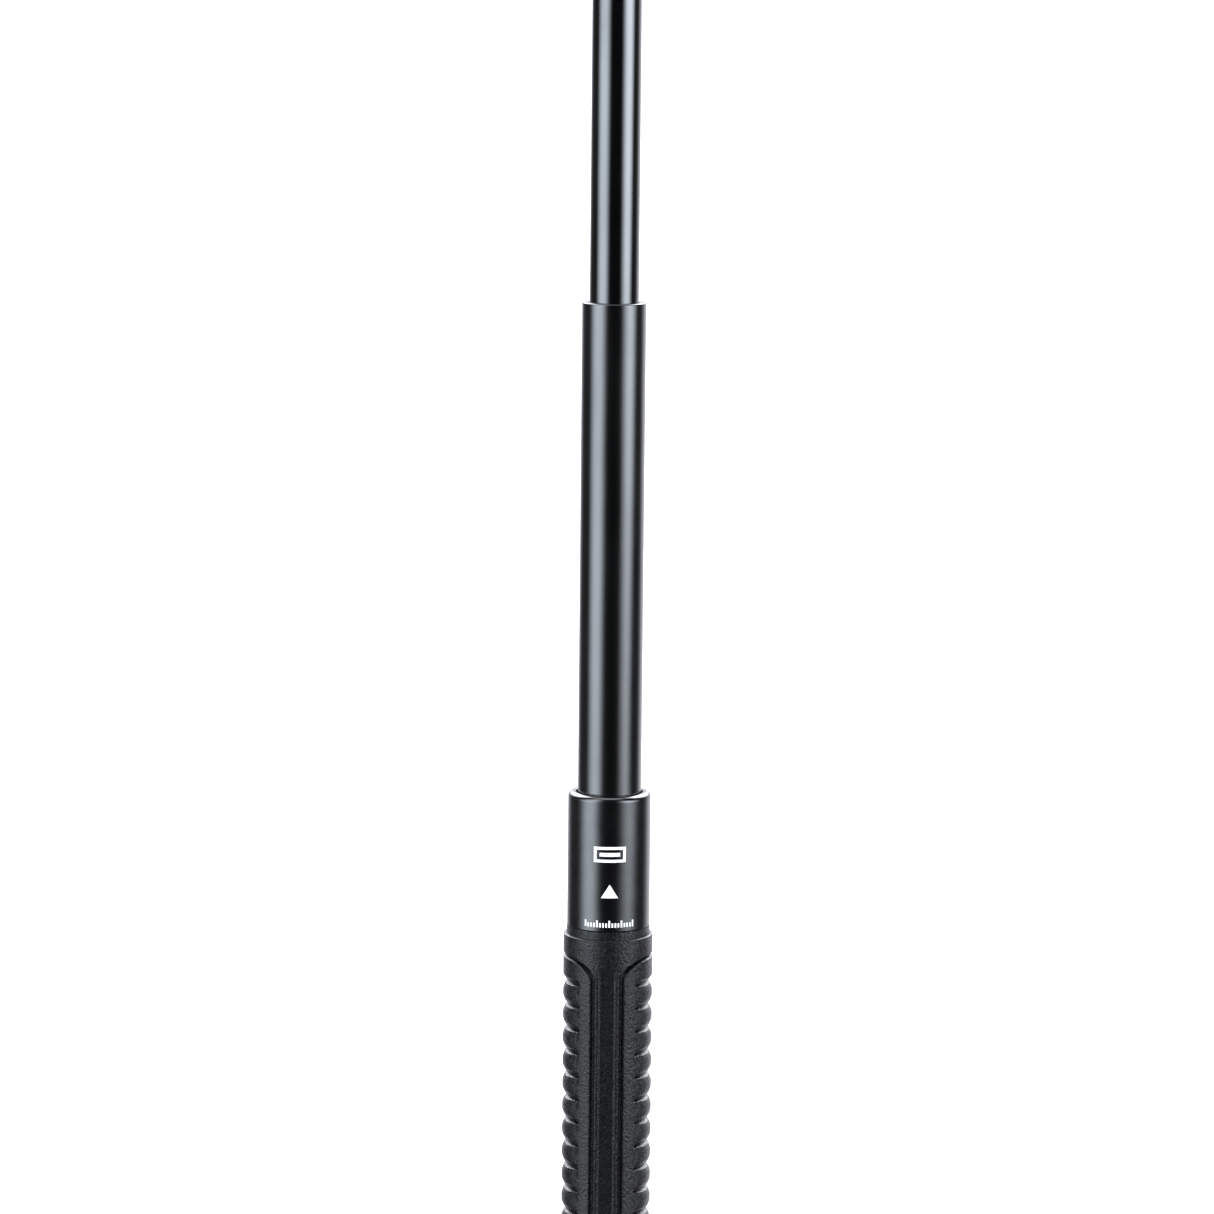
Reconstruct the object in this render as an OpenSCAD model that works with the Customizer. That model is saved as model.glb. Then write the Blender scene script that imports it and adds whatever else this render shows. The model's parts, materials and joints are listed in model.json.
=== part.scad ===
// Three-section extending baton with spring-finger locks and a release button in the tip.
// Shown fully extended. Origin at the centre of the butt's underside, +Z towards the tip,
// the grip's front rib towards -Y. Heights are worked out downwards from each mouth.

/* [Handle] */
// Length from the butt to the mouth
handle_len = 212; // [205:1:225]
// Diameter of the collar above the grip
collar_d = 26.4; // [25.6:0.1:27]
// Length of collar that shows above the grip
collar_len = 43.4; // [42.5:0.1:60]
// Diameter of the tube under the grip
seat_d = 24.2; // [23.8:0.1:24.6]
// Bore of the handle tube
bore_d = 22; // [21.9:0.1:22.1]

/* [Grip] */
// Diameter over the rubber lugs
grip_d = 28.6; // [27.4:0.1:30]
// Height of the thin lip under the collar
lip_h = 2.6; // [1:0.1:4]
// Diameter of that lip
lip_d = 25.8; // [25:0.1:26]
// Width of the smooth rib at the front and at the back
rib_w = 7.8; // [6:0.1:10]
// Width of the channel along each side of a rib
channel_w = 1.5; // [1:0.1:2]
// Depth of the channels
channel_depth = 1.2; // [0.6:0.1:1.3]
// Smooth band between the lip and the channel that frames the lugs
band_h = 6.6; // [4:0.1:10]
// Distance between lug notches
notch_pitch = 7.5; // [6:0.1:8]
// Number of notches down each side
notches = 18; // [6:1:18]
// Depth of a notch
notch_depth = 1.4; // [0.8:0.1:1.5]

/* [Middle section] */
// Outer diameter of the middle tube
mid_d = 20.3; // [20.2:0.1:20.4]
// Length of the middle tube that shows
mid_show = 155.7; // [150:0.1:160]
// Wall of the middle tube
mid_wall = 1.5; // [1.4:0.05:1.5]

/* [Tip section] */
// Outer diameter of the tip tube
tip_d = 15.6; // [15.4:0.1:15.6]
// Length of the tip tube that shows
tip_show = 144.5; // [140:0.1:150]
// Wall of the tip tube
tip_wall = 2; // [1.9:0.05:2.1]
// Height of the tip cap
cap_h = 12; // [11:0.5:16]
// Diameter of the tip cap
cap_d = 20; // [18:0.5:24]

/* [Butt] */
// Height of the screw cap
butt_h = 7; // [6:0.5:9]
// Diameter of the screw cap
butt_d = 27.2; // [26:0.1:27.8]
// Number of finger flutes round it
flutes = 28; // [12:1:36]

/* [Locks] */
// Travel of the release button and of the lock pin
press = 2.5; // [2:0.1:2.5]
// Number of spring fingers on each collet
fingers = 6; // [4:1:8]
// Width of the slots between the fingers
slot_w = 1.2; // [0.8:0.1:1.6]

/* [Hidden] */
$fn = 96;
// clearances on the radius: running, screwed and free
run = 0.05;
fit = 0.05;
free = 0.1;

// handle levels and radii
z_mouth = handle_len;
z_collar = z_mouth - collar_len;
z_body = z_collar - lip_h;
z_band = z_body - band_h;
bore_r = bore_d / 2;
collar_r = collar_d / 2;
grip_r = grip_d / 2;
seat_r = seat_d / 2;

// middle section: radii, then levels from the handle's mouth down
mid_r = mid_d / 2;
mid_bore = mid_r - mid_wall;
z_rim = z_mouth + mid_show;
mid_lip = 3;
mid_bush_h = 10;
z_mid_stop = z_mouth - mid_lip - mid_bush_h - free;
mid_stop_h = 3.4;
mid_guide_h = 3.5;
z_mid_foot = z_mid_stop - mid_stop_h - mid_guide_h;
mid_flange_h = 2;
z_mid_hub = z_mid_foot - mid_flange_h;
mid_finger_len = 19.6;
z_mid_tips = z_mid_hub - mid_finger_len;
mid_floor_h = 4.5;
mid_stem_r = 6;
mid_stem_h = 6;
pin_r = 2.5;
pin_head_r = 4;
pin_head_h = 2;
z_pin_top = z_mid_foot + mid_floor_h + press;
mid_hub_h = 1.8;
z_mid_spring = z_mid_hub - 3;

// tip section: the same stack, from the middle tube's rim down
tip_r = tip_d / 2;
tip_bore = tip_r - tip_wall;
z_tip = z_rim + tip_show;
tip_lip = 2;
tip_bush_h = 4.7;
z_tip_stop = z_rim - tip_lip - tip_bush_h - free;
tip_stop_h = 2.5;
tip_guide_h = 2.5;
z_tip_foot = z_tip_stop - tip_stop_h - tip_guide_h;
tip_flange_h = 1.5;
z_tip_hub = z_tip_foot - tip_flange_h;
tip_finger_len = 11.1;
z_tip_tips = z_tip_hub - tip_finger_len;
tip_stem_r = 4.5;
tip_stem_h = 4.2;
tip_hub_h = 1.6;
rod_r = 1.75;

// fingers: outside radius, wall, ridge and the groove it sits in
ridge_h = 2.5;
mid_finger_r = bore_r - 0.25;
mid_finger_wall = 1.25;
mid_ridge_r = bore_r + 0.45;
tip_finger_r = mid_bore - 0.3;
tip_finger_wall = 0.9;
tip_ridge_r = mid_bore + 0.3;
groove_gap = 0.12;
cam_land = 2;
cam_rise = 0.3;

// tip cap and button
z_cap = z_tip + cap_h;
chamber_r = 4;
cap_top_wall = 2.5;
spigot_h = 12;
z_spigot = z_tip - spigot_h;
seat_plug_h = 3;
button_r = 2.5;
button_show = 3;
button_flange_r = chamber_r - free;
button_flange_h = 2;
button_boss_h = 3.6;
z_flange = z_cap - cap_top_wall - free;
z_rod_top = z_flange - button_flange_h + 0.9;
wire_r = 0.35;

// ---- helpers ----

// points along an arc of radius r about [x, y], from angle a to angle b
function arc(x, y, r, a, b, n = 8) =
  [for (i = [0:n]) [x + r * cos(a + (b - a) * i / n), y + r * sin(a + (b - a) * i / n)]];

// solid turned about Z from an outline of [radius, height] points
module turned(outline) {
  rotate_extrude() polygon(outline);
}

// ring between two radii with a small chamfer on its four edges
module ring(r_out, r_in, z, h, edge = 0.2) {
  turned([
    [r_in + edge, z], [r_out - edge, z], [r_out, z + edge], [r_out, z + h - edge],
    [r_out - edge, z + h], [r_in + edge, z + h], [r_in, z + h - edge], [r_in, z + edge]
  ]);
}

// tube bored at bore and necked to neck at its mouth, with a lock groove inside;
// the groove's sides slope as the ridge's do
module necked_tube(foot, top, outside, bore, neck, neck_h, groove_z, groove_r) {
  bevel = 0.3;
  slope = groove_r - bore;
  turned(concat(
    [[bore, foot]],
    outside,
    [
      [neck + bevel, top], [neck, top - bevel], [neck, top - neck_h], [bore, top - neck_h],
      [bore, groove_z + ridge_h + groove_gap + slope],
      [groove_r, groove_z + ridge_h + groove_gap],
      [groove_r, groove_z - groove_gap], [bore, groove_z - groove_gap - slope]
    ]
  ));
}

// collet: a hub disc on the plug's stem with slotted fingers that end in an outward ridge
module collet(hub_z, tips_z, hub_h, stem_r, r_out, wall, ridge_r) {
  r_in = r_out - wall;
  slope = ridge_r - r_out;
  difference() {
    turned([
      [stem_r, hub_z - hub_h], [stem_r, hub_z], [r_out, hub_z],
      [r_out, tips_z + ridge_h + slope], [ridge_r, tips_z + ridge_h],
      [ridge_r, tips_z + slope], [r_out, tips_z], [r_in, tips_z], [r_in, hub_z - hub_h]
    ]);
    for (i = [0:fingers - 1])
      rotate([0, 0, i * 360 / fingers])
        translate([r_in - 1, -slot_w / 2, tips_z - 1])
          cube([ridge_r, slot_w, hub_z - hub_h - tips_z]);
  }
}

// cam: a land that holds the finger tips out, on a short hub bored for its rod
module cam(tips_z, land_r, hub_r, hub_h, bore, floor_h) {
  z = tips_z + cam_rise;
  lead = 0.6;
  turned([
    [0, z], [land_r - lead, z], [land_r, z + lead / 2], [land_r, z + cam_land],
    [hub_r + 1, z + cam_land + lead], [hub_r, z + cam_land + 1 + lead],
    [hub_r, z + hub_h], [bore, z + hub_h], [bore, z + floor_h], [0, z + floor_h]
  ]);
}

// compression spring between two heights, one helix of round wire
module spring(r, wire, z0, z1, turns) {
  around = 12;
  sides = 6;
  count = turns * around;
  rise = z1 - z0 - 2 * wire;
  points = [
    for (i = [0:count]) for (j = [0:sides - 1])
      let (a = i * 360 / around, b = j * 360 / sides, q = r + wire * cos(b))
        [q * cos(a), q * sin(a), z0 + wire + rise * i / count + wire * sin(b)]
  ];
  skin = [
    for (i = [0:count - 1]) for (j = [0:sides - 1])
      let (k = (j + 1) % sides)
        each [
          [i * sides + j, (i + 1) * sides + k, i * sides + k],
          [i * sides + j, (i + 1) * sides + j, (i + 1) * sides + k]
        ]
  ];
  first = [[for (j = [0:sides - 1]) j]];
  last = [[for (j = [sides - 1:-1:0]) count * sides + j]];
  polyhedron(points, concat(skin, first, last));
}

// o-ring of section radius s round a groove of radius r
module o_ring(r, s, z) {
  rotate_extrude() translate([r + s, z]) circle(s, $fn = 32);
}

// ---- handle ----

module handle_tube() {
  fillet = 1.8;
  edge = 0.3;
  mouth_r = mid_r + 0.55;
  color([0.10, 0.10, 0.12])
    necked_tube(
      butt_h, z_mouth,
      concat(
        [
          [seat_r, butt_h], [seat_r, z_collar],
          [collar_r - edge, z_collar], [collar_r, z_collar + edge]
        ],
        arc(collar_r - fillet, z_mouth - fillet, fillet, 0, 90)
      ),
      bore_r, mouth_r, mid_lip, z_mid_tips, mid_ridge_r + groove_gap
    );
}

module mouth_guide_bush() {
  color([0.62, 0.45, 0.22])
    ring(bore_r, mid_r + run, z_mouth - mid_lip - mid_bush_h, mid_bush_h);
}

// grooves that frame the lugs: a channel beside each rib, a round corner and a side groove
module frame_grooves() {
  corner_r = 6;
  channel_x = rib_w / 2 + channel_w / 2;
  low = butt_h + 4;
  floor_r = grip_r - channel_depth;
  difference() {
    union() {
      for (side = [-1, 1])
        for (face = [0, 180])
          rotate([0, 0, face]) {
            translate([side * channel_x - channel_w / 2, -grip_r - 1, low])
              cube([channel_w, grip_r, z_band - corner_r - low]);
            intersection() {
              translate([side * (channel_x + corner_r), -4, z_band - corner_r])
                rotate([90, 0, 0])
                  difference() {
                    cylinder(r = corner_r + channel_w / 2, h = grip_r);
                    translate([0, 0, -1])
                      cylinder(r = corner_r - channel_w / 2, h = grip_r + 2);
                  }
              translate([side > 0 ? 0 : -channel_x - corner_r, -grip_r - 5, z_band - corner_r])
                cube([channel_x + corner_r, grip_r + 5, corner_r + channel_w]);
            }
          }
      difference() {
        translate([0, 0, z_band - channel_w / 2]) cylinder(r = grip_r + 1, h = channel_w);
        for (face = [-1, 1])
          translate([0, face * (grip_r + 1), z_band])
            cube([2 * (channel_x + corner_r), 2 * (grip_r + 1 - 8.6), 4 * channel_w], center = true);
      }
    }
    translate([0, 0, -1]) cylinder(r = floor_r, h = handle_len);
  }
}

// notches between the lugs on one side, each with a gently sloped upper lug below it
module side_notches() {
  span = 104;
  first = z_band - 9.1;
  slope = 1.5;
  out = grip_r + 1;
  floor_r = grip_r - notch_depth;
  outline = concat(
    [[out, first + 1]],
    [
      for (i = [0:notches - 1])
        let (z = first - i * notch_pitch)
          each [
            [out, z + 1], [grip_r - 0.1, z + 0.8], [floor_r, z + 0.45],
            [floor_r, z - 0.45], [grip_r - 0.1, z - slope], [out, z - slope - 0.2]
          ]
    ]
  );
  last = outline[len(outline) - 1];
  rotate([0, 0, -span / 2])
    rotate_extrude(angle = span)
      polygon(concat(outline, [[last[0] + 1, last[1]], [out + 1, first + 1]]));
}

module rubber_grip() {
  edge = 0.5;
  color([0.16, 0.16, 0.17])
    difference() {
      turned([
        [seat_r, butt_h], [grip_r - edge, butt_h], [grip_r, butt_h + edge],
        [grip_r, z_body - edge], [grip_r - edge, z_body], [lip_d / 2, z_body],
        [lip_d / 2, z_collar], [seat_r, z_collar]
      ]);
      frame_grooves();
      for (side = [0, 180])
        rotate([0, 0, side]) side_notches();
    }
}

module end_cap() {
  edge = 0.8;
  butt_r = butt_d / 2;
  thread_r = bore_r - fit;
  disc_r = 9;
  disc_h = 1.5;
  pad_r = 8.5;
  groove_r = bore_r - 1.6;
  spigot_top = butt_h + 6.5;
  flute_r = 1;
  color([0.13, 0.13, 0.14])
    difference() {
      turned([
        [0, disc_h], [disc_r, disc_h], [disc_r, 0], [butt_r - edge, 0], [butt_r, edge],
        [butt_r, butt_h - edge / 2], [butt_r - edge / 2, butt_h],
        [groove_r, butt_h], [groove_r, butt_h + 1.7], [thread_r, butt_h + 1.7],
        [thread_r, spigot_top], [pad_r, spigot_top], [pad_r, spigot_top - 4], [0, spigot_top - 4]
      ]);
      for (i = [0:flutes - 1])
        rotate([0, 0, i * 360 / flutes])
          translate([butt_r + 0.55, 0, 1.6]) cylinder(r = flute_r, h = butt_h - 3, $fn = 24);
    }
}

module end_cap_o_ring() {
  color([0.07, 0.07, 0.07]) o_ring(bore_r - 1.6, 0.75, butt_h + 0.85);
}

module bumper_pad() {
  pad_r = 8.5;
  pad_h = 5;
  dish = 0.8;
  z = butt_h + 2.5;
  color([0.25, 0.25, 0.24])
    turned([
      [0, z], [pad_r - 0.05, z], [pad_r - 0.05, z + pad_h - dish], [pad_r - dish, z + pad_h],
      [3, z + pad_h], [2, z + pad_h - dish], [0, z + pad_h - dish]
    ]);
}

module end_cap_disc() {
  disc_r = 9 - 0.05;
  color([0.30, 0.30, 0.32])
    turned([[0, 0.5], [6.5, 0.5], [7, 0.3], [disc_r - 0.3, 0.3], [disc_r, 0.6], [disc_r, 1.5], [0, 1.5]]);
}

// ---- middle section ----

module middle_tube() {
  edge = 0.35;
  color([0.06, 0.06, 0.07])
    necked_tube(
      z_mid_foot, z_rim,
      [[mid_r, z_mid_foot], [mid_r, z_rim - edge], [mid_r - edge, z_rim]],
      mid_bore, tip_r + 0.15, tip_lip, z_tip_tips, tip_ridge_r + groove_gap
    );
}

module middle_mouth_bush() {
  color([0.62, 0.45, 0.22])
    ring(mid_bore, tip_r + run, z_rim - tip_lip - tip_bush_h, tip_bush_h, 0.15);
}

module middle_stop_ring() {
  color([0.45, 0.45, 0.47])
    ring(bore_r - 3 * run, mid_r, z_mid_stop - mid_stop_h, mid_stop_h);
}

module middle_guide_ring() {
  color([0.85, 0.85, 0.80]) ring(bore_r - run, mid_r, z_mid_foot, mid_guide_h, 0.15);
}

module middle_base_plug() {
  flange_r = bore_r - 3 * run;
  head_r = pin_head_r + 0.3;
  color([0.50, 0.50, 0.52])
    turned([
      [pin_r + free, z_mid_hub - mid_stem_h], [mid_stem_r, z_mid_hub - mid_stem_h],
      [mid_stem_r, z_mid_hub], [flange_r, z_mid_hub], [flange_r, z_mid_foot],
      [mid_bore - fit, z_mid_foot], [mid_bore - fit, z_mid_foot + mid_floor_h],
      [head_r, z_mid_foot + mid_floor_h], [head_r, z_mid_spring], [pin_r + free, z_mid_spring]
    ]);
}

module middle_lock_collet() {
  color([0.55, 0.55, 0.58])
    collet(z_mid_hub, z_mid_tips, mid_hub_h, mid_stem_r, mid_finger_r, mid_finger_wall, mid_ridge_r);
}

module middle_collet_nut() {
  nut_h = 3.2;
  color([0.45, 0.42, 0.35])
    ring(mid_stem_r + 2.6, mid_stem_r, z_mid_hub - mid_hub_h - nut_h, nut_h);
}

module middle_pin_spring() {
  color([0.70, 0.70, 0.72])
    spring(3.3, wire_r, z_mid_spring, z_pin_top - pin_head_h, 5);
}

module middle_lock_pin() {
  z_foot = z_mid_tips + cam_rise + 1;
  z_clip = z_mid_hub - mid_stem_h - free - 1;
  groove_r = pin_r - 0.5;
  color([0.60, 0.60, 0.62])
    turned([
      [0, z_foot], [pin_r, z_foot], [pin_r, z_clip], [groove_r, z_clip], [groove_r, z_clip + 1],
      [pin_r, z_clip + 1], [pin_r, z_pin_top - pin_head_h], [pin_head_r, z_pin_top - pin_head_h],
      [pin_head_r, z_pin_top - 0.5], [pin_head_r - 0.5, z_pin_top], [0, z_pin_top]
    ]);
}

module middle_lock_cam() {
  color([0.55, 0.50, 0.40])
    cam(z_mid_tips, mid_finger_r - mid_finger_wall - free, 4, 6.5, pin_r, 1);
}

module middle_pin_clip() {
  z_clip = z_mid_hub - mid_stem_h - free - 1;
  color([0.30, 0.30, 0.32])
    rotate_extrude(angle = 290)
      translate([pin_r - 0.5, z_clip]) square([2.4, 1]);
}

// ---- tip section ----

module tip_tube() {
  edge = 0.2;
  color([0.04, 0.04, 0.045])
    turned([
      [tip_bore, z_tip_foot], [tip_r, z_tip_foot], [tip_r, z_tip - edge], [tip_r - edge, z_tip],
      [tip_bore, z_tip]
    ]);
}

module tip_cap() {
  cap_r = cap_d / 2;
  round_r = 2.6;
  neck_r = tip_r + 0.5;
  neck_h = 3.2;
  thread_r = tip_bore - fit;
  groove_r = thread_r - 1;
  color([0.05, 0.05, 0.055])
    turned(concat(
      [
        [chamber_r, z_spigot], [thread_r, z_spigot], [thread_r, z_tip - 1.2],
        [groove_r, z_tip - 1.2], [groove_r, z_tip], [neck_r, z_tip],
        [neck_r, z_tip + 0.6]
      ],
      arc(cap_r - 0.8, z_tip + neck_h + 0.8, 0.8, -50, 0, 4),
      arc(cap_r - round_r, z_cap - round_r, round_r, 0, 90),
      [
        [button_r + free + 0.5, z_cap], [button_r + free, z_cap - 0.5],
        [button_r + free, z_cap - cap_top_wall], [chamber_r, z_cap - cap_top_wall]
      ]
    ));
}

module tip_cap_o_ring() {
  color([0.07, 0.07, 0.07]) o_ring(tip_bore - fit - 1, 0.5, z_tip - 0.65);
}

module button_spring_seat() {
  color([0.65, 0.55, 0.30]) ring(chamber_r - fit, rod_r + free, z_spigot, seat_plug_h);
}

module button_spring() {
  color([0.70, 0.70, 0.72])
    spring(3.1, wire_r, z_spigot + seat_plug_h, z_flange - button_flange_h, 7);
}

module tip_stop_ring() {
  color([0.45, 0.45, 0.47])
    ring(mid_bore - 3 * run, tip_r, z_tip_stop - tip_stop_h, tip_stop_h);
}

module tip_guide_ring() {
  color([0.85, 0.85, 0.80]) ring(mid_bore - run, tip_r, z_tip_foot, tip_guide_h, 0.15);
}

module tip_base_plug() {
  flange_r = mid_bore - 2 * run;
  boss_h = 6;
  color([0.50, 0.50, 0.52])
    turned([
      [rod_r + free, z_tip_hub - tip_stem_h], [tip_stem_r, z_tip_hub - tip_stem_h],
      [tip_stem_r, z_tip_hub], [flange_r, z_tip_hub], [flange_r, z_tip_foot],
      [tip_bore - fit, z_tip_foot], [tip_bore - fit, z_tip_foot + boss_h],
      [rod_r + free, z_tip_foot + boss_h]
    ]);
}

module tip_lock_collet() {
  color([0.55, 0.55, 0.58])
    collet(z_tip_hub, z_tip_tips, tip_hub_h, tip_stem_r, tip_finger_r, tip_finger_wall, tip_ridge_r);
}

module tip_collet_nut() {
  nut_h = 2.4;
  color([0.45, 0.42, 0.35])
    ring(tip_stem_r + 1.8, tip_stem_r, z_tip_hub - tip_hub_h - nut_h, nut_h);
}

// ---- release ----

module release_button() {
  round_r = 0.8;
  boss_r = 2.4;
  z_top = z_cap + button_show;
  z_low = z_flange - button_flange_h;
  color([0.12, 0.12, 0.13])
    turned(concat(
      [
        [rod_r, z_low - button_boss_h], [boss_r, z_low - button_boss_h], [boss_r, z_low],
        [button_flange_r, z_low], [button_flange_r, z_flange], [button_r, z_flange]
      ],
      arc(button_r - round_r, z_top - round_r, round_r, 0, 90),
      [[0, z_top], [0, z_rod_top], [rod_r, z_rod_top]]
    ));
}

module release_rod() {
  z_foot = z_tip_tips + cam_rise + 1;
  color([0.60, 0.60, 0.62])
    translate([0, 0, z_foot]) cylinder(r = rod_r, h = z_rod_top - z_foot);
}

module tip_lock_cam() {
  color([0.55, 0.50, 0.40])
    cam(z_tip_tips, tip_finger_r - tip_finger_wall - free, 3, 5.2, rod_r, 1);
}

handle_tube();
rubber_grip();
mouth_guide_bush();
end_cap();
end_cap_o_ring();
bumper_pad();
end_cap_disc();
middle_tube();
middle_mouth_bush();
middle_stop_ring();
middle_guide_ring();
middle_base_plug();
middle_lock_collet();
middle_collet_nut();
middle_pin_spring();
middle_lock_pin();
middle_lock_cam();
middle_pin_clip();
tip_tube();
tip_cap();
tip_cap_o_ring();
button_spring_seat();
button_spring();
tip_stop_ring();
tip_guide_ring();
tip_base_plug();
tip_lock_collet();
tip_collet_nut();
release_button();
release_rod();
tip_lock_cam();
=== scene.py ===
"""Looks of the extending baton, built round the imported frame.

Shape functions work in millimetres, in the frame's own axes, and make_piece() turns them into metres.
Angles round the baton are measured from the front, which is -Y, towards +X.
"""
import json
import math

import bpy
import numpy as np
from mathutils import Matrix, Vector


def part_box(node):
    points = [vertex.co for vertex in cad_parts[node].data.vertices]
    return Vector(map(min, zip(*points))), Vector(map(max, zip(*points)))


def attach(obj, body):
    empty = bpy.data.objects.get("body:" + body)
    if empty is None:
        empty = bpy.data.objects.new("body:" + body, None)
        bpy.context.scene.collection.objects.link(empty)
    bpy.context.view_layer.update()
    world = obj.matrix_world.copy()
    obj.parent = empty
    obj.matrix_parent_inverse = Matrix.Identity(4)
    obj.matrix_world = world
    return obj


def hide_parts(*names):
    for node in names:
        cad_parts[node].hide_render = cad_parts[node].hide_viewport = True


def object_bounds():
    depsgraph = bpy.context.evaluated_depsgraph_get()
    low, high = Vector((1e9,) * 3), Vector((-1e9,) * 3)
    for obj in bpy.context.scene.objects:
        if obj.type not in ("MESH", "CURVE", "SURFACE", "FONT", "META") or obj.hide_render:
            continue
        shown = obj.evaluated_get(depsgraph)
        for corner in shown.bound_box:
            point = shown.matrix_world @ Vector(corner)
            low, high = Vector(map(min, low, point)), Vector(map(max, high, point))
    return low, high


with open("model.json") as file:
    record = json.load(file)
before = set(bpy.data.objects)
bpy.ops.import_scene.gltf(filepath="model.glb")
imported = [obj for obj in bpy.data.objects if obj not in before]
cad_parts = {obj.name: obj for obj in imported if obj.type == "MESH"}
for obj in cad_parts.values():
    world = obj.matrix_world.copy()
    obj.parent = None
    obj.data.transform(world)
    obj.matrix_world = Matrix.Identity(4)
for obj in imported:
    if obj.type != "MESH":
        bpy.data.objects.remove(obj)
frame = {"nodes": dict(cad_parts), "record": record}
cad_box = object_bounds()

MM = 0.001


# ---------------------------------------------------------------- sizes from the frame, in mm

def low(node):
    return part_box(node)[0] / MM


def high(node):
    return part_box(node)[1] / MM


BUTT_R = high("end_cap").x
BUTT_TOP = low("rubber_grip").z
GRIP_R = high("rubber_grip").x
Z_COLLAR = high("rubber_grip").z
COLLAR_R = high("handle_tube").x
Z_MOUTH = high("handle_tube").z
BORE_R = high("mouth_guide_bush").x
BUSH_TOP = high("mouth_guide_bush").z
MID_R = high("middle_tube").x
Z_RIM = high("middle_tube").z
MID_FOOT = low("middle_tube").z
MID_BORE = high("middle_mouth_bush").x
MID_BUSH_TOP = high("middle_mouth_bush").z
TIP_R = high("tip_tube").x
Z_TIP = high("tip_tube").z
TIP_FOOT = low("tip_tube").z
CAP_R = high("tip_cap").x
Z_CAP = high("tip_cap").z
Z_SPIGOT = low("tip_cap").z
Z_BUTTON = high("release_button").z
BUTTON_LOW = low("release_button").z
BUTTON_FLANGE_R = high("release_button").x


# ---------------------------------------------------------------- mesh helpers

def make_piece(name, points, faces, body, material, sharp=40):
    """Mesh object from points in mm, smooth-shaded with edges over sharp degrees kept crisp."""
    mesh = bpy.data.meshes.new(name)
    mesh.from_pydata([[c * MM for c in p] for p in points], [], faces)
    mesh.update()
    mesh.shade_smooth()
    mesh.set_sharp_from_angle(angle=math.radians(sharp))
    mesh.materials.append(material)
    piece = bpy.data.objects.new(name, mesh)
    bpy.context.scene.collection.objects.link(piece)
    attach(piece, body)
    return piece


def arc(x, y, r, start, end, steps=8):
    """Points along an arc of radius r about (x, y), from start to end degrees."""
    turns = [math.radians(start + (end - start) * i / steps) for i in range(steps + 1)]
    return [(x + r * math.cos(t), y + r * math.sin(t)) for t in turns]


def with_holding_rings(outline, inset=0.12):
    """The outline with a point near both ends of each long side, so that it stays flat beside its rounds."""
    held = []
    for (r0, z0), (r1, z1) in zip(outline, outline[1:] + outline[:1]):
        held.append((r0, z0))
        length = math.hypot(r1 - r0, z1 - z0)
        if length > 4 * inset:
            for t in (inset / length, 1 - inset / length):
                held.append((r0 + (r1 - r0) * t, z0 + (z1 - z0) * t))
    return held


def turned(name, outline, body, material, steps=192):
    """Solid turned about Z from a closed outline of (radius, height), listed anticlockwise."""
    points, rings = [], []
    for radius, height in with_holding_rings(outline):
        count = steps if radius > 1e-6 else 1
        rings.append((len(points), count))
        for i in range(count):
            a = 2 * math.pi * i / count
            points.append((radius * math.cos(a), radius * math.sin(a), height))
    faces = []
    for k, (first, count) in enumerate(rings):
        after, after_count = rings[(k + 1) % len(rings)]
        if count == 1 and after_count == 1:
            continue
        for i in range(steps):
            j = (i + 1) % steps
            loop = [first + i % count, first + j % count, after + j % after_count, after + i % after_count]
            faces.append(list(dict.fromkeys(loop)))
    return make_piece(name, points, faces, body, material)


def polar_skin(name, angles, heights, radius_at, inner_r, body, material, sharp=50):
    """Closed sleeve whose outside is radius_at(angle, height) and whose bore is inner_r."""
    a, z = np.meshgrid(angles, heights)
    r = radius_at(a, z)
    skin = np.stack([r * np.sin(a), -r * np.cos(a), z], -1).reshape(-1, 3)
    ends = [
        [(inner_r * math.sin(t), -inner_r * math.cos(t), h) for t in angles]
        for h in (heights[0], heights[-1])
    ]
    points = skin.tolist() + ends[0] + ends[1]
    n, rows = len(angles), len(heights)
    bottom, top = n * rows, n * rows + n
    faces = []
    for i in range(n):
        j = (i + 1) % n
        for k in range(rows - 1):
            faces.append((k * n + i, k * n + j, (k + 1) * n + j, (k + 1) * n + i))
        faces.append((bottom + i, bottom + j, j, i))
        faces.append(((rows - 1) * n + i, (rows - 1) * n + j, top + j, top + i))
        faces.append((top + i, top + j, bottom + j, bottom + i))
    return make_piece(name, points, faces, body, material, sharp)


def smoothstep(x, start, end):
    """0 at start, 1 at end, eased between them."""
    t = np.clip((x - start) / (end - start), 0, 1)
    return t * t * (3 - 2 * t)


# ---------------------------------------------------------------- materials

# noise seldom leaves this range, so it is spread out from here
NOISE_LOW, NOISE_HIGH = 0.3, 0.7
REFRACTION = 1.5


def add_node(tree, kind, inputs=(), **settings):
    """New node in tree. An input is either linked to a socket or set to a value."""
    node = tree.nodes.new(kind)
    for key, value in settings.items():
        setattr(node, key, value)
    for key, value in dict(inputs).items():
        if isinstance(value, bpy.types.NodeSocket):
            tree.links.new(value, node.inputs[key])
        else:
            node.inputs[key].default_value = value
    return node


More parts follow.
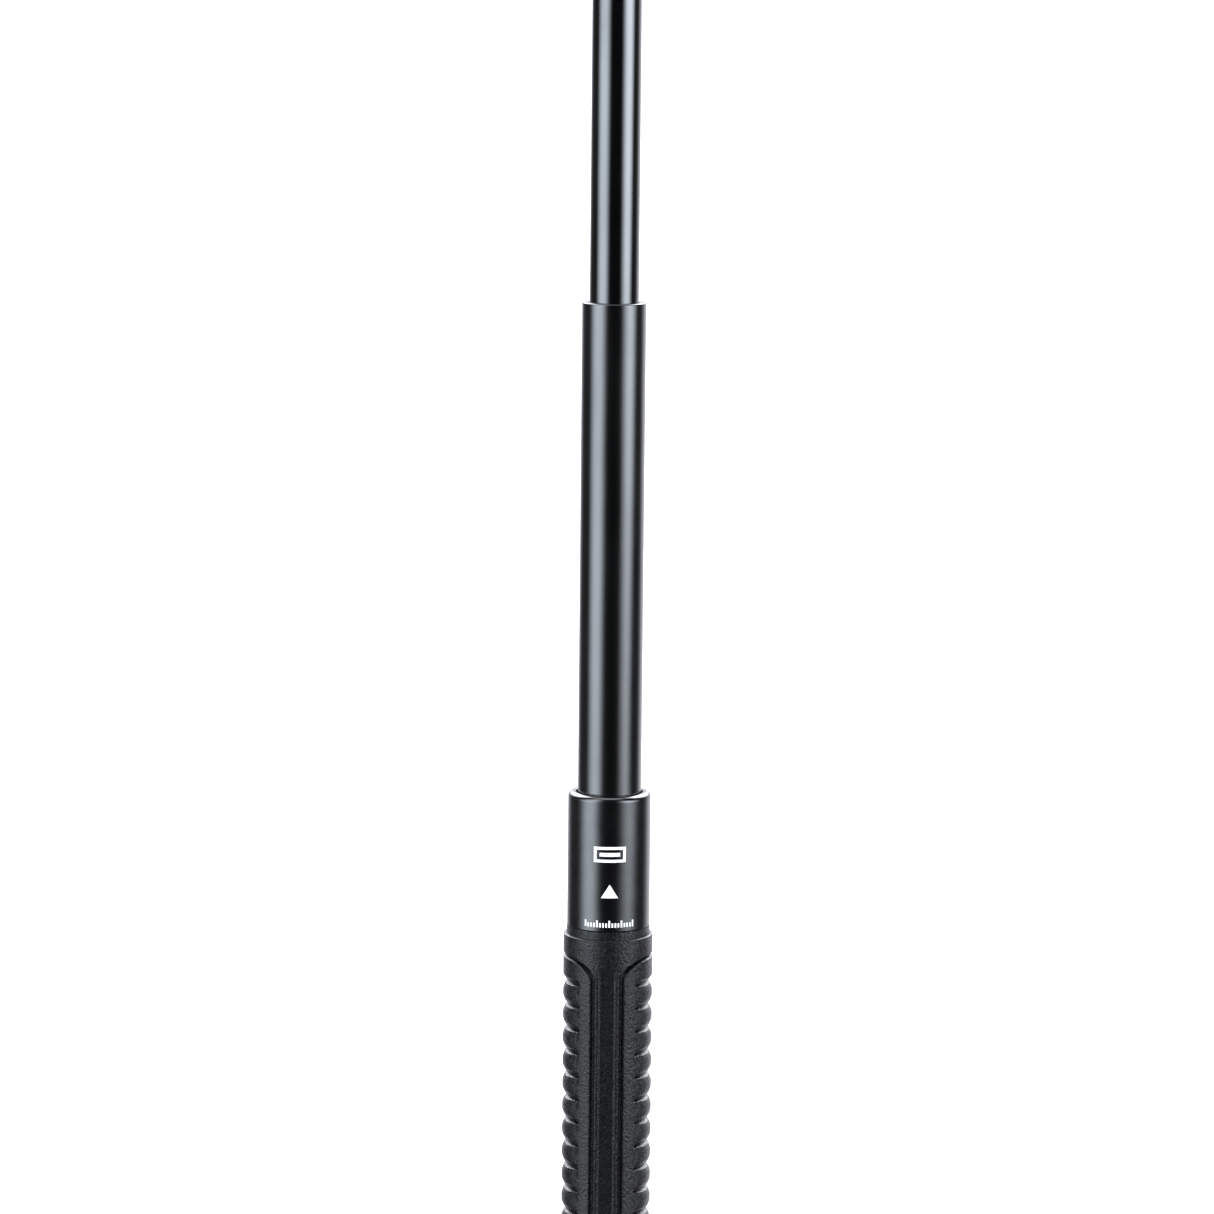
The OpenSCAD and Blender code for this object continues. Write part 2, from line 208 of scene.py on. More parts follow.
class Shader:
    """A Principled material and the few node groups that the finishes below are made of."""

    def __init__(self, name, metallic=0.0, specular=0.5):
        self.material = bpy.data.materials.new(name)
        self.material.use_nodes = True
        self.tree = self.material.node_tree
        self.surface = self.tree.nodes["Principled BSDF"]
        self.surface.inputs["Metallic"].default_value = metallic
        self.surface.inputs["Specular IOR Level"].default_value = specular
        self.surface.inputs["IOR"].default_value = REFRACTION
        self.place = self.tree.nodes.new("ShaderNodeTexCoord").outputs["Object"]

    def add(self, kind, inputs=(), **settings):
        return add_node(self.tree, kind, inputs, **settings)

    def noise(self, size_mm, stretch=(1, 1, 1), detail=2.0, roughness=0.5):
        """Noise whose features are about size_mm across, stretched along the axes by stretch."""
        scale = [1 / (size_mm * MM * s) for s in stretch]
        placed = self.add("ShaderNodeMapping", {"Vector": self.place, "Scale": scale})
        inputs = {
            "Vector": placed.outputs["Vector"],
            "Scale": 1.0,
            "Detail": detail,
            "Roughness": roughness,
        }
        return self.add("ShaderNodeTexNoise", inputs).outputs["Fac"]

    def span(self, value, to_low, to_high):
        """The noise in value, spread over to_low to to_high."""
        inputs = {
            "Value": value,
            "From Min": NOISE_LOW,
            "From Max": NOISE_HIGH,
            "To Min": to_low,
            "To Max": to_high,
        }
        return self.add("ShaderNodeMapRange", inputs).outputs["Result"]

    def colour(self, fac, dark, light):
        """Base colour that runs from dark to light with the noise in fac."""
        ramp = self.add("ShaderNodeValToRGB", {"Fac": fac})
        ramp.color_ramp.elements[0].position = NOISE_LOW
        ramp.color_ramp.elements[1].position = NOISE_HIGH
        ramp.color_ramp.elements[0].color = (*dark, 1)
        ramp.color_ramp.elements[1].color = (*light, 1)
        self.tree.links.new(ramp.outputs["Color"], self.surface.inputs["Base Color"])

    def rough(self, value):
        """Roughness taken from value."""
        self.tree.links.new(value, self.surface.inputs["Roughness"])

    def bump(self, value, height_mm):
        """Relief that is height_mm high where value is 1."""
        node = self.add("ShaderNodeBump", {"Height": value, "Distance": height_mm * MM, "Strength": 1.0})
        self.tree.links.new(node.outputs["Normal"], self.surface.inputs["Normal"])

    def mix(self, a, b, share):
        """a and b mixed as numbers."""
        node = self.add("ShaderNodeMix", {"Factor": share, "A": a, "B": b}, data_type="FLOAT")
        return node.outputs["Result"]


def plated(name, tone, tint, low_rough, high_rough):
    """Black-plated steel: dark metal with faint draw lines along the tube and soft handling smears."""
    finish = Shader(name, metallic=1.0)
    smears = finish.noise(9, stretch=(1, 1, 3), detail=3)
    lines = finish.noise(0.5, stretch=(1, 1, 60), detail=2)
    dark = [tone * 0.92 * c for c in tint]
    light = [tone * 1.08 * c for c in tint]
    finish.colour(smears, dark, light)
    finish.rough(finish.span(finish.mix(smears, lines, 0.35), low_rough, high_rough))
    finish.bump(lines, 0.0015)
    return finish.material


def satin_black(name, tone, tint, low_rough, high_rough):
    """Fine-blasted black anodising: a satin face with an even, very fine grain."""
    finish = Shader(name, metallic=1.0)
    cloud = finish.noise(6, detail=2)
    grain = finish.noise(0.12, detail=1)
    finish.colour(cloud, [tone * 0.93 * c for c in tint], [tone * 1.07 * c for c in tint])
    finish.rough(finish.span(finish.mix(cloud, grain, 0.5), low_rough, high_rough))
    finish.bump(grain, 0.003)
    return finish.material


def moulded_rubber(name):
    """Black moulded rubber with a spark-eroded grain and faint lighter patches."""
    finish = Shader(name, specular=0.5)
    patches = finish.noise(5, detail=3)
    grain = finish.noise(0.85, detail=2, roughness=0.6)
    speck = finish.noise(0.4, detail=1)
    mixed = finish.mix(grain, speck, 0.4)
    finish.colour(finish.mix(patches, mixed, 0.7), (0.0015, 0.0015, 0.0015), (0.008, 0.008, 0.009))
    finish.rough(finish.span(mixed, 0.22, 0.38))
    finish.bump(mixed, 0.32)
    return finish.material


def plain_metal(name, dark, light, low_rough, high_rough):
    """Bare turned metal with rings of tool marks."""
    finish = Shader(name, metallic=1.0)
    rings = finish.noise(0.25, stretch=(40, 40, 1), detail=2)
    finish.colour(rings, dark, light)
    finish.rough(finish.span(rings, low_rough, high_rough))
    finish.bump(rings, 0.004)
    return finish.material


def plain_polymer(name, dark, light, low_rough, high_rough, grain_mm=0.3):
    """Moulded polymer or seal rubber with a fine grain."""
    finish = Shader(name)
    grain = finish.noise(grain_mm, detail=2)
    finish.colour(grain, dark, light)
    finish.rough(finish.span(grain, low_rough, high_rough))
    finish.bump(grain, 0.01)
    return finish.material


COOL = (0.98, 1.0, 1.02)
FINISHES = {
    "grip_rubber": moulded_rubber("grip_rubber"),
    "collar_black": satin_black("collar_black", 0.12, COOL, 0.21, 0.26),
    "middle_black": plated("middle_black", 0.13, COOL, 0.18, 0.23),
    "tip_black": plated("tip_black", 0.13, COOL, 0.11, 0.16),
    "cap_black": plated("cap_black", 0.11, COOL, 0.22, 0.30),
    "button_grey": plated("button_grey", 0.20, COOL, 0.25, 0.34),
    "spring_steel": plain_metal("spring_steel", (0.40, 0.40, 0.42), (0.58, 0.58, 0.60), 0.22, 0.34),
    "plain_steel": plain_metal("plain_steel", (0.34, 0.34, 0.36), (0.50, 0.50, 0.52), 0.28, 0.42),
    "bronze": plain_metal("bronze", (0.42, 0.27, 0.11), (0.58, 0.39, 0.18), 0.26, 0.40),
    "seal_rubber": plain_polymer("seal_rubber", (0.010, 0.010, 0.010), (0.022, 0.022, 0.022), 0.45, 0.65),
    "slide_ring": plain_polymer("slide_ring", (0.60, 0.60, 0.56), (0.74, 0.74, 0.70), 0.40, 0.55),
    "mark_white": plain_polymer("mark_white", (0.78, 0.78, 0.79), (0.90, 0.90, 0.90), 0.50, 0.65, 0.15),
    "insert_plastic": plain_polymer(
        "insert_plastic", (0.022, 0.022, 0.024), (0.040, 0.040, 0.042), 0.35, 0.5
    ),
}


def finish_frame_nodes():
    """Every CAD node takes the finish of its slot in the record."""
    for subpart in frame["record"]["subparts"]:
        node = frame["nodes"][subpart["node"]]
        node.data.materials.clear()
        node.data.materials.append(FINISHES[subpart["material_slot"]])


# ---------------------------------------------------------------- handle

# height of a lock collet's ridge, and the play of its groove
LOCK_RIDGE = 2.5
LOCK_GAP = 0.12
# radius of the tube under the grip, and the play round the middle tube at the collar's mouth
SEAT_R = 12.1
MOUTH_GAP = 0.55


def lock_groove(bore, tips, ridge_r):
    """Outline points of the groove that a collet's ridge sits in, from its top to its foot."""
    groove_r = ridge_r + LOCK_GAP
    slope = groove_r - bore
    top = tips + LOCK_RIDGE + LOCK_GAP
    foot = tips - LOCK_GAP
    return [(bore, top + slope), (groove_r, top), (groove_r, foot), (bore, foot - slope)]


def handle_tube():
    """Tube under the grip and the satin collar above it, with a rounded mouth."""
    edge, fillet, bevel = 0.3, 1.7, 0.3
    mouth_r = MID_R + MOUTH_GAP
    outline = [(BORE_R, BUTT_TOP), (SEAT_R, BUTT_TOP), (SEAT_R, Z_COLLAR)]
    outline += arc(COLLAR_R - edge, Z_COLLAR + edge, edge, -90, 0, 3)
    outline += arc(COLLAR_R - fillet, Z_MOUTH - fillet, fillet, 0, 90, 12)
    outline += arc(mouth_r + bevel, Z_MOUTH - bevel, bevel, 90, 180, 4)
    outline += [(mouth_r, BUSH_TOP), (BORE_R, BUSH_TOP)]
    outline += lock_groove(BORE_R, low("middle_lock_collet").z, high("middle_lock_collet").x)
    piece = turned("collar_and_tube", outline, "handle", FINISHES["collar_black"])
    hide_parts("handle_tube")


# Z_BODY is the top of the grip's body, and the lip above it is LIP_INSET thinner
Z_BODY = Z_COLLAR - 2.6
LIP_INSET = 1.0
BODY_EDGE = 0.3
# the rib: its flat face, two beads as (distance from the middle, half width), and where they fade out
FACE_EDGE = 2.3
BEADS = ((2.68, 0.38), (3.52, 0.46))
BEAD_HEIGHT = 0.38
BEADS_FULL = Z_BODY - 13.0
BEADS_GONE = Z_BODY - 8.5
# the channel beside the rib, which turns over the side panel in an elliptical corner
CHANNEL_MID = 4.8
CHANNEL_HALF = 0.75
CHANNEL_DEPTH = 1.2
CHANNEL_LINE = 0.15
CORNER_LINE = 0.6
PANEL_TOP = 159.3
CORNER_WIDE = 11.35
CORNER_TALL = 7.3
# the notches; within one, the distance down from its top runs over a floor, a ledge and a shoulder
NOTCH_TOP = 150.75
NOTCH_PITCH = 7.5
NOTCHES = 18
NOTCH_DEPTH = 1.68
NOTCH_RISE = 0.35
NOTCH_OVERHANG = 1.7
FLOOR_END = 0.3
LEDGE_END = 1.0
LEDGE_DEPTH = 0.75
# degrees from the front where the notches begin, and where the lugs get rounder
NOTCH_START, NOTCH_FULL = 37.0, 44.0
FLANK_START, FLANK_FULL = 46.0, 78.0


def groove_distance(u, z):
    """Distance from the middle of the channel that frames a side panel, positive outside the panel.

    It is scaled up round the corner, where the channel is narrower.
    """
    across = np.minimum(u - CHANNEL_MID - CORNER_WIDE, 0) / CORNER_WIDE
    up = np.maximum(z - PANEL_TOP + CORNER_TALL, 0) / CORNER_TALL
    rho = np.maximum(np.hypot(across, up), 1e-6)
    slope = np.hypot(across / CORNER_WIDE, up / CORNER_TALL) / rho
    narrowing = 1 - 0.25 * smoothstep(u, CHANNEL_MID + 0.5, CHANNEL_MID + 4.0)
    return (rho - 1) / np.maximum(slope, 1e-6) / narrowing


def channel_cut(u, z):
    """Depth of the framing channel, with eased edges and a fine moulding line along its floor."""
    d = groove_distance(u, z)
    over_lugs = smoothstep(u, CHANNEL_MID + 2.5, CHANNEL_MID + 7.5)
    shelf = np.where(d < 0, 0.35 * over_lugs, 0)
    start, end = CHANNEL_HALF - 0.35 - shelf, CHANNEL_HALF + 0.15 + shelf
    floor = CHANNEL_DEPTH * (1 - smoothstep(np.abs(d), start, end))
    corner = smoothstep(u, CHANNEL_MID + 0.5, CHANNEL_MID + 2.5)
    line = (CHANNEL_LINE + CORNER_LINE * corner) * (1 - smoothstep(np.abs(d), 0.08, 0.3))
    return floor - line * (floor > 0.75 * CHANNEL_DEPTH)


def rib_cut(a, u, z):
    """Depth of the rib's flat face, sunk between two round beads along each side of it."""
    edge_r = GRIP_R - BEAD_HEIGHT
    face = GRIP_R - edge_r * math.cos(FACE_EDGE / GRIP_R) / np.cos(a)
    cut = np.where(u < FACE_EDGE, face, BEAD_HEIGHT)
    for middle, half in BEADS:
        crown = np.sqrt(np.clip(1 - ((u - middle) / half) ** 2, 0, 1))
        cut = np.where(np.abs(u - middle) < half, BEAD_HEIGHT * (1 - crown), cut)
    cut = np.where(u > BEADS[1][0] + BEADS[1][1], 0, cut)
    return cut * (1 - smoothstep(z, BEADS_FULL, BEADS_GONE))


def notch_cut(a, z):
    """Depth of the notches: each has a steep ledge at the top of a lug, then the lug's rounded shoulder."""
    inside = (z < NOTCH_TOP + NOTCH_OVERHANG) & (z > NOTCH_TOP - NOTCHES * NOTCH_PITCH)
    flank = smoothstep(np.degrees(a), FLANK_START, FLANK_FULL)
    t = (NOTCH_TOP + NOTCH_RISE * (1 - flank) - z) % NOTCH_PITCH
    shoulder_end = 4.2 - 1.2 * flank
    round_from = 6.1 - 1.4 * flank
    down_ledge = np.clip((t - FLOOR_END) / (LEDGE_END - FLOOR_END), 0, 1)
    ledge = NOTCH_DEPTH + (LEDGE_DEPTH - NOTCH_DEPTH) * down_ledge
    shoulder = LEDGE_DEPTH * np.clip((shoulder_end - t) / (shoulder_end - LEDGE_END), 0, 1) ** 1.3
    depth = np.where(t < LEDGE_END, ledge, shoulder)
    under = np.clip((t - round_from) / (NOTCH_PITCH - round_from), 0, 1)
    depth = np.where(t > round_from, NOTCH_DEPTH * (1 - np.sqrt(1 - under ** 2)) ** 0.7, depth)
    depth = np.where((z > NOTCH_TOP + NOTCH_RISE) & (t < round_from), 0, depth)
    share = smoothstep(np.degrees(a), NOTCH_START, NOTCH_FULL)
    return np.where(inside, depth * share, 0)


def grip_radius(angle, z):
    """Outside radius of the rubber at each angle and height; the four quarters mirror each other."""
    a = np.abs((angle + math.pi) % (2 * math.pi) - math.pi)
    a = np.minimum(a, math.pi - a)
    u = GRIP_R * a
    cut = np.maximum(channel_cut(u, z), np.maximum(rib_cut(a, u, z), notch_cut(a, z)))
    top = np.clip((z - Z_BODY + BODY_EDGE) / BODY_EDGE, 0, 1)
    cut = np.maximum(cut, BODY_EDGE * (1 - np.sqrt(1 - top ** 2)))
    foot = np.clip((BUTT_TOP + BODY_EDGE - z) / BODY_EDGE, 0, 1)
    cut = np.maximum(cut, BODY_EDGE * (1 - np.sqrt(1 - foot ** 2)))
    cut = np.where(z > Z_BODY + 0.01, LIP_INSET, cut)
    return GRIP_R - cut


def steps(*stops):
    """Values from the first stop to the last; each stop after the first is (value, spacing up to it)."""
    values = [stops[0]]
    for end, spacing in stops[1:]:
        count = max(1, round(abs(end - values[-1]) / spacing))
        start = values[-1]
        values += [start + (end - start) * (i + 1) / count for i in range(count)]
    return values


def grip_angles():
    """Angles round the grip, close together where the channels and the notch ends are."""
    side = GRIP_R * math.pi / 2
    quarter = steps(0, (2.1, 0.7), (4.1, 0.08), (5.8, 0.14), (8.6, 0.4), (10.8, 0.16), (side, 0.6))
    quarter = [u / GRIP_R for u in quarter]
    half = quarter + [math.pi - a for a in quarter[-2::-1]]
    return half + [2 * math.pi - a for a in half[-2:0:-1]]


def grip_heights():
    """Heights up the grip: one set of rows per lug, close rows at the framing channel."""
    ledge = ((FLOOR_END, 0.1), (LEDGE_END, 0.1), (1.2, 0.1))
    row = steps(0, *ledge, (4.3, 0.32), (6.9, 0.2), (NOTCH_PITCH, 0.075))[:-1]
    lugs = [NOTCH_TOP - i * NOTCH_PITCH - t for i in range(NOTCHES) for t in row]
    lowest = NOTCH_TOP - NOTCHES * NOTCH_PITCH
    foot = steps(BUTT_TOP, (BUTT_TOP + 0.5, 0.1), (lowest, 1.0))
    neck = steps(NOTCH_TOP, (Z_BODY - 5.5, 0.12), (Z_BODY - 0.5, 0.5), (Z_BODY, 0.1))[1:]
    lip = [Z_BODY + 0.02, Z_BODY + 0.3, Z_COLLAR - 0.3, Z_COLLAR]
    return sorted(set(round(z, 4) for z in foot + lugs + neck + lip))


def rubber_grip():
    """Rubber sleeve with the rib, the channels and the lugs."""
    piece = polar_skin(
        "moulded_grip", grip_angles(), grip_heights(), grip_radius, SEAT_R,
        "handle", FINISHES["grip_rubber"], sharp=60,
    )
    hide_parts("rubber_grip")


# turn of the marks away from the front, and the ink's height off the collar, below and above
MARK_TURN = math.radians(2.0)
INK_FOOT, INK_TOP = 0.004, 0.029


def ink_shape(rows, columns=8):
    """Points and faces of one printed shape: rows of (height, left, right), wrapped on the collar."""
    points, faces = [], []
    for lift in (INK_FOOT, INK_TOP):
        for z, left, right in rows:
            for i in range(columns + 1):
                a = (left + (right - left) * i / columns) / COLLAR_R + MARK_TURN
                r = COLLAR_R + lift
                points.append((r * math.sin(a), -r * math.cos(a), z))
    n = columns + 1
    layer = n * len(rows)
    for k in range(len(rows) - 1):
        for i in range(columns):
            low_left, top_left = k * n + i, (k + 1) * n + i
            faces.append((low_left, top_left, top_left + 1, low_left + 1))
            faces.append((layer + low_left, layer + low_left + 1, layer + top_left + 1, layer + top_left))
        for i, flip in ((0, False), (columns, True)):
            wall = (k * n + i, layer + k * n + i, layer + (k + 1) * n + i, (k + 1) * n + i)
            faces.append(wall[::-1] if flip else wall)
    for k, flip in ((0, False), (len(rows) - 1, True)):
        for i in range(columns):
            wall = (k * n + i, k * n + i + 1, layer + k * n + i + 1, layer + k * n + i)
            faces.append(wall[::-1] if flip else wall)
    return points, faces


def collar_marks():
    """Three generic printed marks: a framed bar, an arrow towards the tip and a row of ticks."""
    frame_top, frame_low = Z_MOUTH - 15.8, Z_MOUTH - 20.8
    half, line, gap = 5.2, 0.9, 1.0
    inset = line + gap
    shapes = [
        [(frame_top - line, -half, half), (frame_top, -half, half)],
        [(frame_low, -half, half), (frame_low + line, -half, half)],
        [(frame_low + line, -half, -half + line), (frame_top - line, -half, -half + line)],
        [(frame_low + line, half - line, half), (frame_top - line, half - line, half)],
        [(frame_low + inset, -half + inset, half - inset), (frame_top - inset, -half + inset, half - inset)],
    ]
    arrow_top, arrow_low = Z_MOUTH - 28.0, Z_MOUTH - 32.3
    arrow_half, blunt, slices = 2.7, 0.05, 12
    arrow = []
    for i in range(slices + 1):
        t = i / slices
        reach = arrow_half * (1 - t) + blunt
        arrow.append((arrow_low + (arrow_top - arrow_low) * t, -reach, reach))
    shapes.append(arrow)
    ticks, scale_half, tick_w, foot = 17, 7.9, 0.55, Z_MOUTH - 41.8
    long_tick, short_tick, long_every = 2.2, 1.4, 4
    for i in range(ticks):
        middle = -scale_half + 2 * scale_half * i / (ticks - 1)
        left, right = middle - tick_w / 2, middle + tick_w / 2
        tall = long_tick if i % long_every == 0 else short_tick
        shapes.append([(foot, left, right), (foot + tall, left, right)])
    points, faces = [], []
    for rows in shapes:
        more, more_faces = ink_shape(rows)
        faces += [[i + len(points) for i in face] for face in more_faces]
        points += more
    make_piece("collar_marks", points, faces, "handle", FINISHES["mark_white"], 30)


# ---------------------------------------------------------------- tubes and tip

def middle_tube():
    """Middle tube with a rounded rim close round the tip tube."""
    edge, bevel, rim_gap = 0.4, 0.15, 0.15
    neck_r = TIP_R + rim_gap
    outline = [(MID_BORE, MID_FOOT), (MID_R, MID_FOOT)]
    outline += arc(MID_R - edge, Z_RIM - edge, edge, 0, 90, 5)
    outline += arc(neck_r + bevel, Z_RIM - bevel, bevel, 90, 180, 3)
    outline += [(neck_r, MID_BUSH_TOP), (MID_BORE, MID_BUSH_TOP)]
    outline += lock_groove(MID_BORE, low("tip_lock_collet").z, high("tip_lock_collet").x)
    finish = FINISHES["middle_black"]
    piece = turned("middle_tube_skin", outline, "middle_section", finish)
    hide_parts("middle_tube")


def tip_tube():
    """Plain tip tube, open at both ends."""
    wall, edge = 2, 0.2
    bore = TIP_R - wall
    outline = [(bore, TIP_FOOT), (TIP_R, TIP_FOOT)]
    outline += arc(TIP_R - edge, Z_TIP - edge, edge, 0, 90, 3)
    outline += [(bore, Z_TIP)]
    piece = turned("tip_tube_skin", outline, "tip_section", FINISHES["tip_black"])
    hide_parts("tip_tube")


def tip_cap():
    """Cap with a waist above the tube, two fine turned rings and a rounded crown."""
    round_r, waist_r, neck_h = 2.6, 0.8, 3.2
    thread_r, chamber_r, neck_r = TIP_R - 2.05, 4.0, TIP_R + 0.5
    seal_r, seal_h = thread_r - 1, 1.2
    hole_r, hole_h, hole_bevel = 2.6, 2.5, 0.5
    rings, ring_pitch, ring_depth, ring_rise = 2, 1.3, 0.25, 2.0
    outline = [(chamber_r, Z_SPIGOT), (thread_r, Z_SPIGOT)]
    outline += [(thread_r, Z_TIP - seal_h), (seal_r, Z_TIP - seal_h)]
    outline += [(seal_r, Z_TIP), (neck_r - 0.2, Z_TIP), (neck_r, Z_TIP + 0.2), (neck_r, Z_TIP + 0.6)]
    outline += arc(CAP_R - waist_r, Z_TIP + neck_h + waist_r, waist_r, -50, 0, 6)
    for k in range(rings):
        z = Z_TIP + neck_h + ring_rise + ring_pitch * k
        floor_r = CAP_R - ring_depth
        outline += [(CAP_R, z), (floor_r, z + 0.2), (floor_r, z + 0.45), (CAP_R, z + 0.65)]
    outline += arc(CAP_R - round_r, Z_CAP - round_r, round_r, 0, 90, 14)
    outline += [(hole_r + hole_bevel, Z_CAP), (hole_r, Z_CAP - hole_bevel)]
    outline += [(hole_r, Z_CAP - hole_h), (chamber_r, Z_CAP - hole_h)]
    piece = turned("tip_cap_skin", outline, "tip_section", FINISHES["cap_black"])
    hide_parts("tip_cap")


def release_button():
    """Button with a rounded crown and a shallow dish for the thumb."""
    stem_r, round_r, boss_r, rod_r = 2.5, 0.8, 2.4, 1.75
    dish_r, dish_edge, dish_depth, rod_hole = 1.2, 0.12, 0.2, 0.9
    flange_top = Z_CAP - 2.6
    flange_low = flange_top - 2
    hole_top = flange_low + rod_hole
    outline = [(rod_r, BUTTON_LOW), (boss_r, BUTTON_LOW), (boss_r, flange_low)]
    outline += [(BUTTON_FLANGE_R, flange_low), (BUTTON_FLANGE_R, flange_top), (stem_r, flange_top)]
    outline += arc(stem_r - round_r, Z_BUTTON - round_r, round_r, 0, 90, 8)
    outline += [(dish_r, Z_BUTTON - dish_edge), (0, Z_BUTTON - dish_depth), (0, hole_top), (rod_r, hole_top)]
    finish = FINISHES["button_grey"]
    piece = turned("release_button_skin", outline, "release_button", finish, 96)
    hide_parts("release_button")


def end_cap():
    """Screw cap with finger flutes that die out above and below."""
    flutes, flute_depth, steps_per_flute = 28, 0.42, 10
    edge, crown_edge, bore = 0.8, 0.4, 9.0

    def radius(angle, z):
        wave = np.clip(np.cos(flutes * angle) * 1.6 - 0.6, 0, 1)
        reach = smoothstep(z, 1.2, 2.0) * (1 - smoothstep(z, BUTT_TOP - 1.9, BUTT_TOP - 1.1))
        cut = flute_depth * wave * reach
        foot = np.clip((edge - z) / edge, 0, 1)
        crown = np.clip((z - BUTT_TOP + crown_edge) / crown_edge, 0, 1)
        cut = cut + edge * (1 - np.sqrt(1 - foot ** 2)) + crown_edge * (1 - np.sqrt(1 - crown ** 2))
        return BUTT_R - cut

    count = flutes * steps_per_flute
    angles = [2 * math.pi * i / count for i in range(count)]
    crown_foot = BUTT_TOP - crown_edge
    heights = steps(0, (edge, 0.1), (2.0, 0.2), (BUTT_TOP - 2.0, 0.6), (crown_foot, 0.2), (BUTT_TOP, 0.1))
    finish = FINISHES["cap_black"]
    piece = polar_skin("end_cap_skin", angles, heights, radius, bore, "handle", finish)
    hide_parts("end_cap")


# ---------------------------------------------------------------- studio

# the camera's place round the point that it looks at, in degrees and metres, and its lens in mm
PITCH = math.radians(8.3)
TURN = math.radians(0.6)
ROLL = math.radians(0.555)
DISTANCE = 1.520
AIM = Vector((-0.00136, 0, 0.271))
SENSOR = 36.0
LENS = 142.34


def camera():
    """Long lens a little above the collar, looking slightly down."""
    data = bpy.data.cameras.new("camera")
    data.sensor_width = SENSOR
    data.lens = LENS
    data.clip_start, data.clip_end = 0.05, 200
    back = Vector((math.sin(TURN) * math.cos(PITCH), -math.cos(TURN) * math.cos(PITCH), math.sin(PITCH)))
    obj = bpy.data.objects.new("camera", data)
    bpy.context.scene.collection.objects.link(obj)
    look = (-back).to_track_quat("-Z", "Y").to_matrix().to_4x4()
    obj.matrix_world = Matrix.Translation(AIM + back * DISTANCE) @ look @ Matrix.Rotation(ROLL, 4, "Z")
    bpy.context.scene.camera = obj


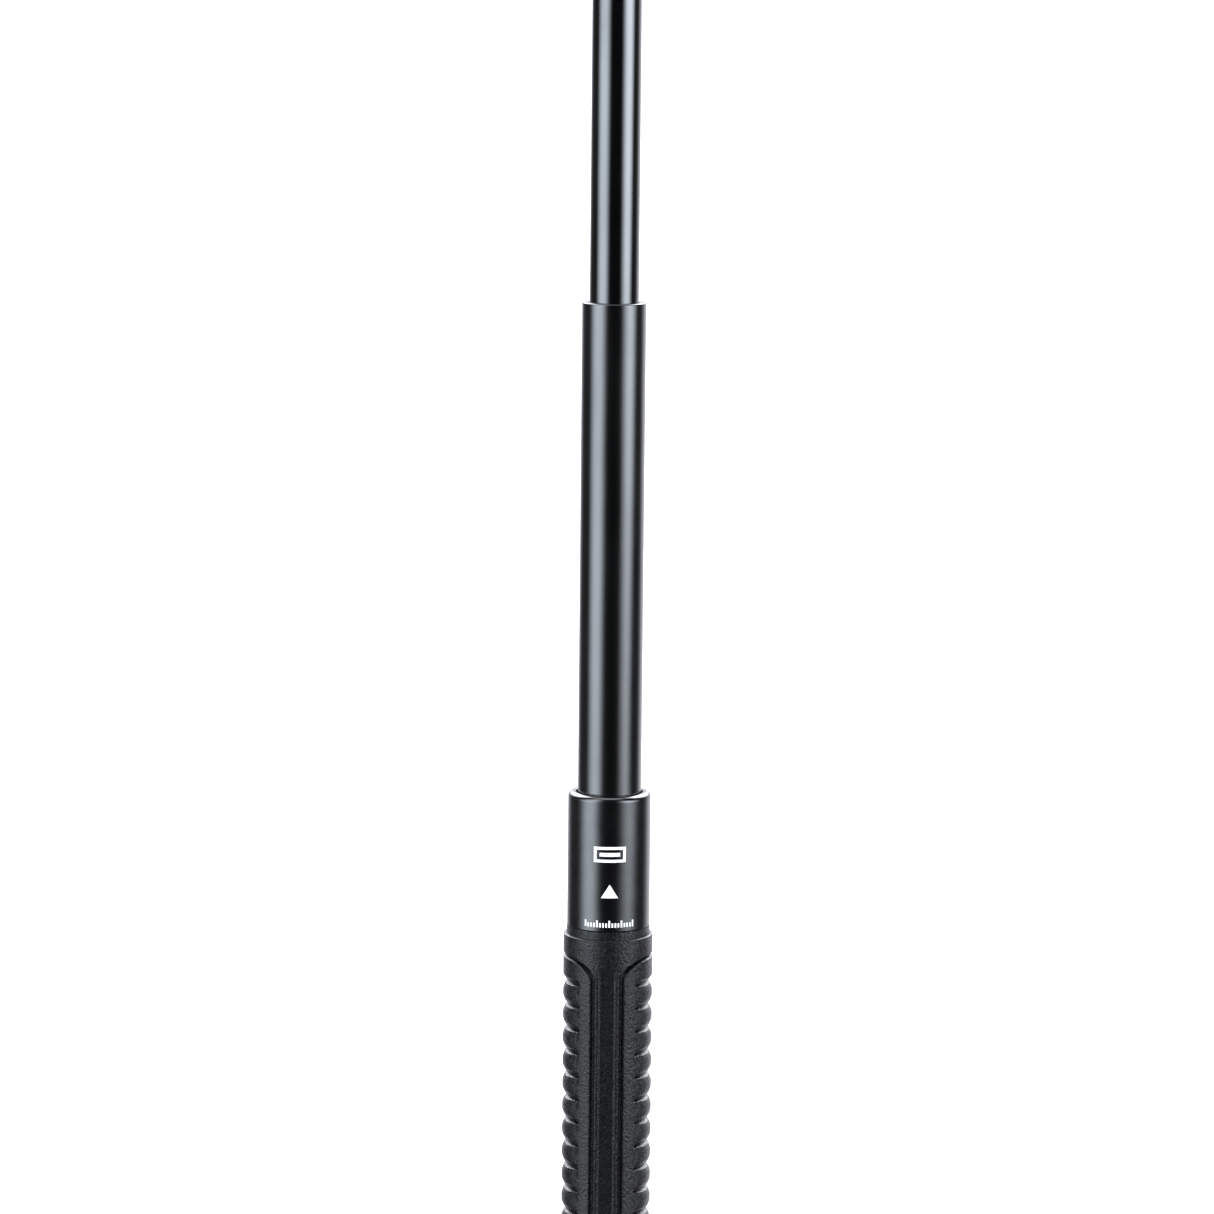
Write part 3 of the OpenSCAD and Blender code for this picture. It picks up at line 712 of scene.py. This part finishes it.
def studio_light():
    """World light: soft boxes left and right, white walls and high strips behind, a ceiling, else dark.

    Bearings are degrees from the camera's side of the baton, positive to the right, and heights are
    degrees above the horizon. The camera itself sees plain white.
    """
    world = bpy.data.worlds.new("studio")
    bpy.context.scene.world = world
    world.use_nodes = True
    tree = world.node_tree
    tree.nodes.clear()

    def add(kind, inputs=(), **settings):
        return add_node(tree, kind, inputs, **settings)

    def maths(operation, a, b=0.0):
        node = add("ShaderNodeMath", {0: a, 1: b}, operation=operation)
        return node.outputs[0]

    def ramp(value, start, end):
        """0 at start, 1 at end, eased between them."""
        limits = {"Value": value, "From Min": start, "From Max": end, "To Min": 0.0, "To Max": 1.0}
        return add("ShaderNodeMapRange", limits, interpolation_type="SMOOTHSTEP").outputs["Result"]

    def times(a, b):
        return maths("MULTIPLY", a, b)

    def light(colour, strength, mask):
        """Glow of one light: its colour and strength where the mask is 1."""
        glow = add("ShaderNodeVectorMath", {0: [strength * c for c in colour]}, operation="SCALE")
        tree.links.new(mask, glow.inputs["Scale"])
        return glow.outputs["Vector"]

    def plus(a, b):
        return add("ShaderNodeVectorMath", {0: a, 1: b}, operation="ADD").outputs["Vector"]

    direction = add("ShaderNodeTexCoord").outputs["Generated"]
    parts = add("ShaderNodeSeparateXYZ", {"Vector": direction}).outputs
    degrees = 180 / math.pi
    towards_camera = times(parts["Y"], -1.0)
    bearing = times(maths("ARCTAN2", parts["X"], towards_camera), degrees)
    height = times(maths("ARCSINE", parts["Z"]), degrees)
    off_front = maths("ABSOLUTE", bearing)
    off_level = maths("ABSOLUTE", height)

    lean_right = maths("ADD", bearing, times(off_level, 1.3))
    lean_left = maths("ADD", bearing, times(off_level, -0.55))
    left = times(ramp(lean_left, -99, -65), ramp(bearing, -20, -50))
    left = times(left, times(ramp(height, -30, -2), ramp(height, 66, 50)))
    right = times(ramp(bearing, 24, 58), ramp(lean_right, 98, 70))
    right = times(right, times(ramp(height, -18, 1), ramp(height, 66, 50)))
    level = times(ramp(height, -50, -30), ramp(height, 60, 40))
    wall_left = times(ramp(bearing, -125, -165), level)
    wall_right = times(ramp(bearing, 112, 142), level)
    strip_foot = maths("ADD", height, times(off_front, 0.7))
    strips = times(ramp(off_front, 104, 122), ramp(off_front, 178, 170))
    strips = times(strips, times(ramp(strip_foot, 110, 122), ramp(height, 12, 24)))
    strips = times(strips, ramp(height, 64, 52))
    sides = ramp(off_front, 88, 110)
    zenith = ramp(height, 62, 74)
    below = ramp(height, -50, -70)

    glow = light((0.84, 0.92, 1.0), 4.3, left)
    glow = plus(glow, light((0.86, 0.92, 1.0), 6.1, right))
    glow = plus(glow, light((0.90, 0.92, 1.0), 1.2, wall_left))
    glow = plus(glow, light((0.92, 0.94, 1.0), 1.4, wall_right))
    glow = plus(glow, light((0.94, 0.96, 1.0), 9.5, strips))
    glow = plus(glow, light((1.0, 1.0, 1.0), 0.25, below))
    glow = plus(glow, light((0.95, 0.97, 1.0), 2.2, zenith))
    glow = plus(glow, light((1.0, 0.98, 1.0), 0.07, sides))
    glow = plus(glow, (0.02, 0.02, 0.021))

    seen = add("ShaderNodeLightPath").outputs["Is Camera Ray"]
    lit = add("ShaderNodeBackground", {"Color": glow, "Strength": 1.0})
    white = add("ShaderNodeBackground", {"Color": (1, 1, 1, 1), "Strength": 1.0})
    both = add("ShaderNodeMixShader", {0: seen, 1: lit.outputs[0], 2: white.outputs[0]})
    out = add("ShaderNodeOutputWorld")
    tree.links.new(both.outputs[0], out.inputs["Surface"])


def floor():
    """Large pale floor at the butt's foot. Polished parts don't mirror it."""
    reach = 60
    mesh = bpy.data.meshes.new("floor")
    z = cad_box[0].z
    corners = [(-reach, -reach, z), (reach, -reach, z), (reach, reach, z), (-reach, reach, z)]
    mesh.from_pydata(corners, [], [(0, 1, 2, 3)])
    obj = bpy.data.objects.new("floor", mesh)
    bpy.context.scene.collection.objects.link(obj)
    paper = Shader("pale_floor", specular=0.1)
    fibre = paper.noise(40, detail=2)
    paper.colour(fibre, (0.86, 0.86, 0.865), (0.90, 0.90, 0.905))
    paper.rough(paper.span(fibre, 0.7, 0.9))
    mesh.materials.append(paper.material)
    obj.visible_glossy = False
    obj.visible_shadow = False


camera()
studio_light()
floor()
finish_frame_nodes()
handle_tube()
rubber_grip()
collar_marks()
middle_tube()
tip_tube()
tip_cap()
release_button()
end_cap()

bpy.context.scene.view_settings.view_transform = "Standard"
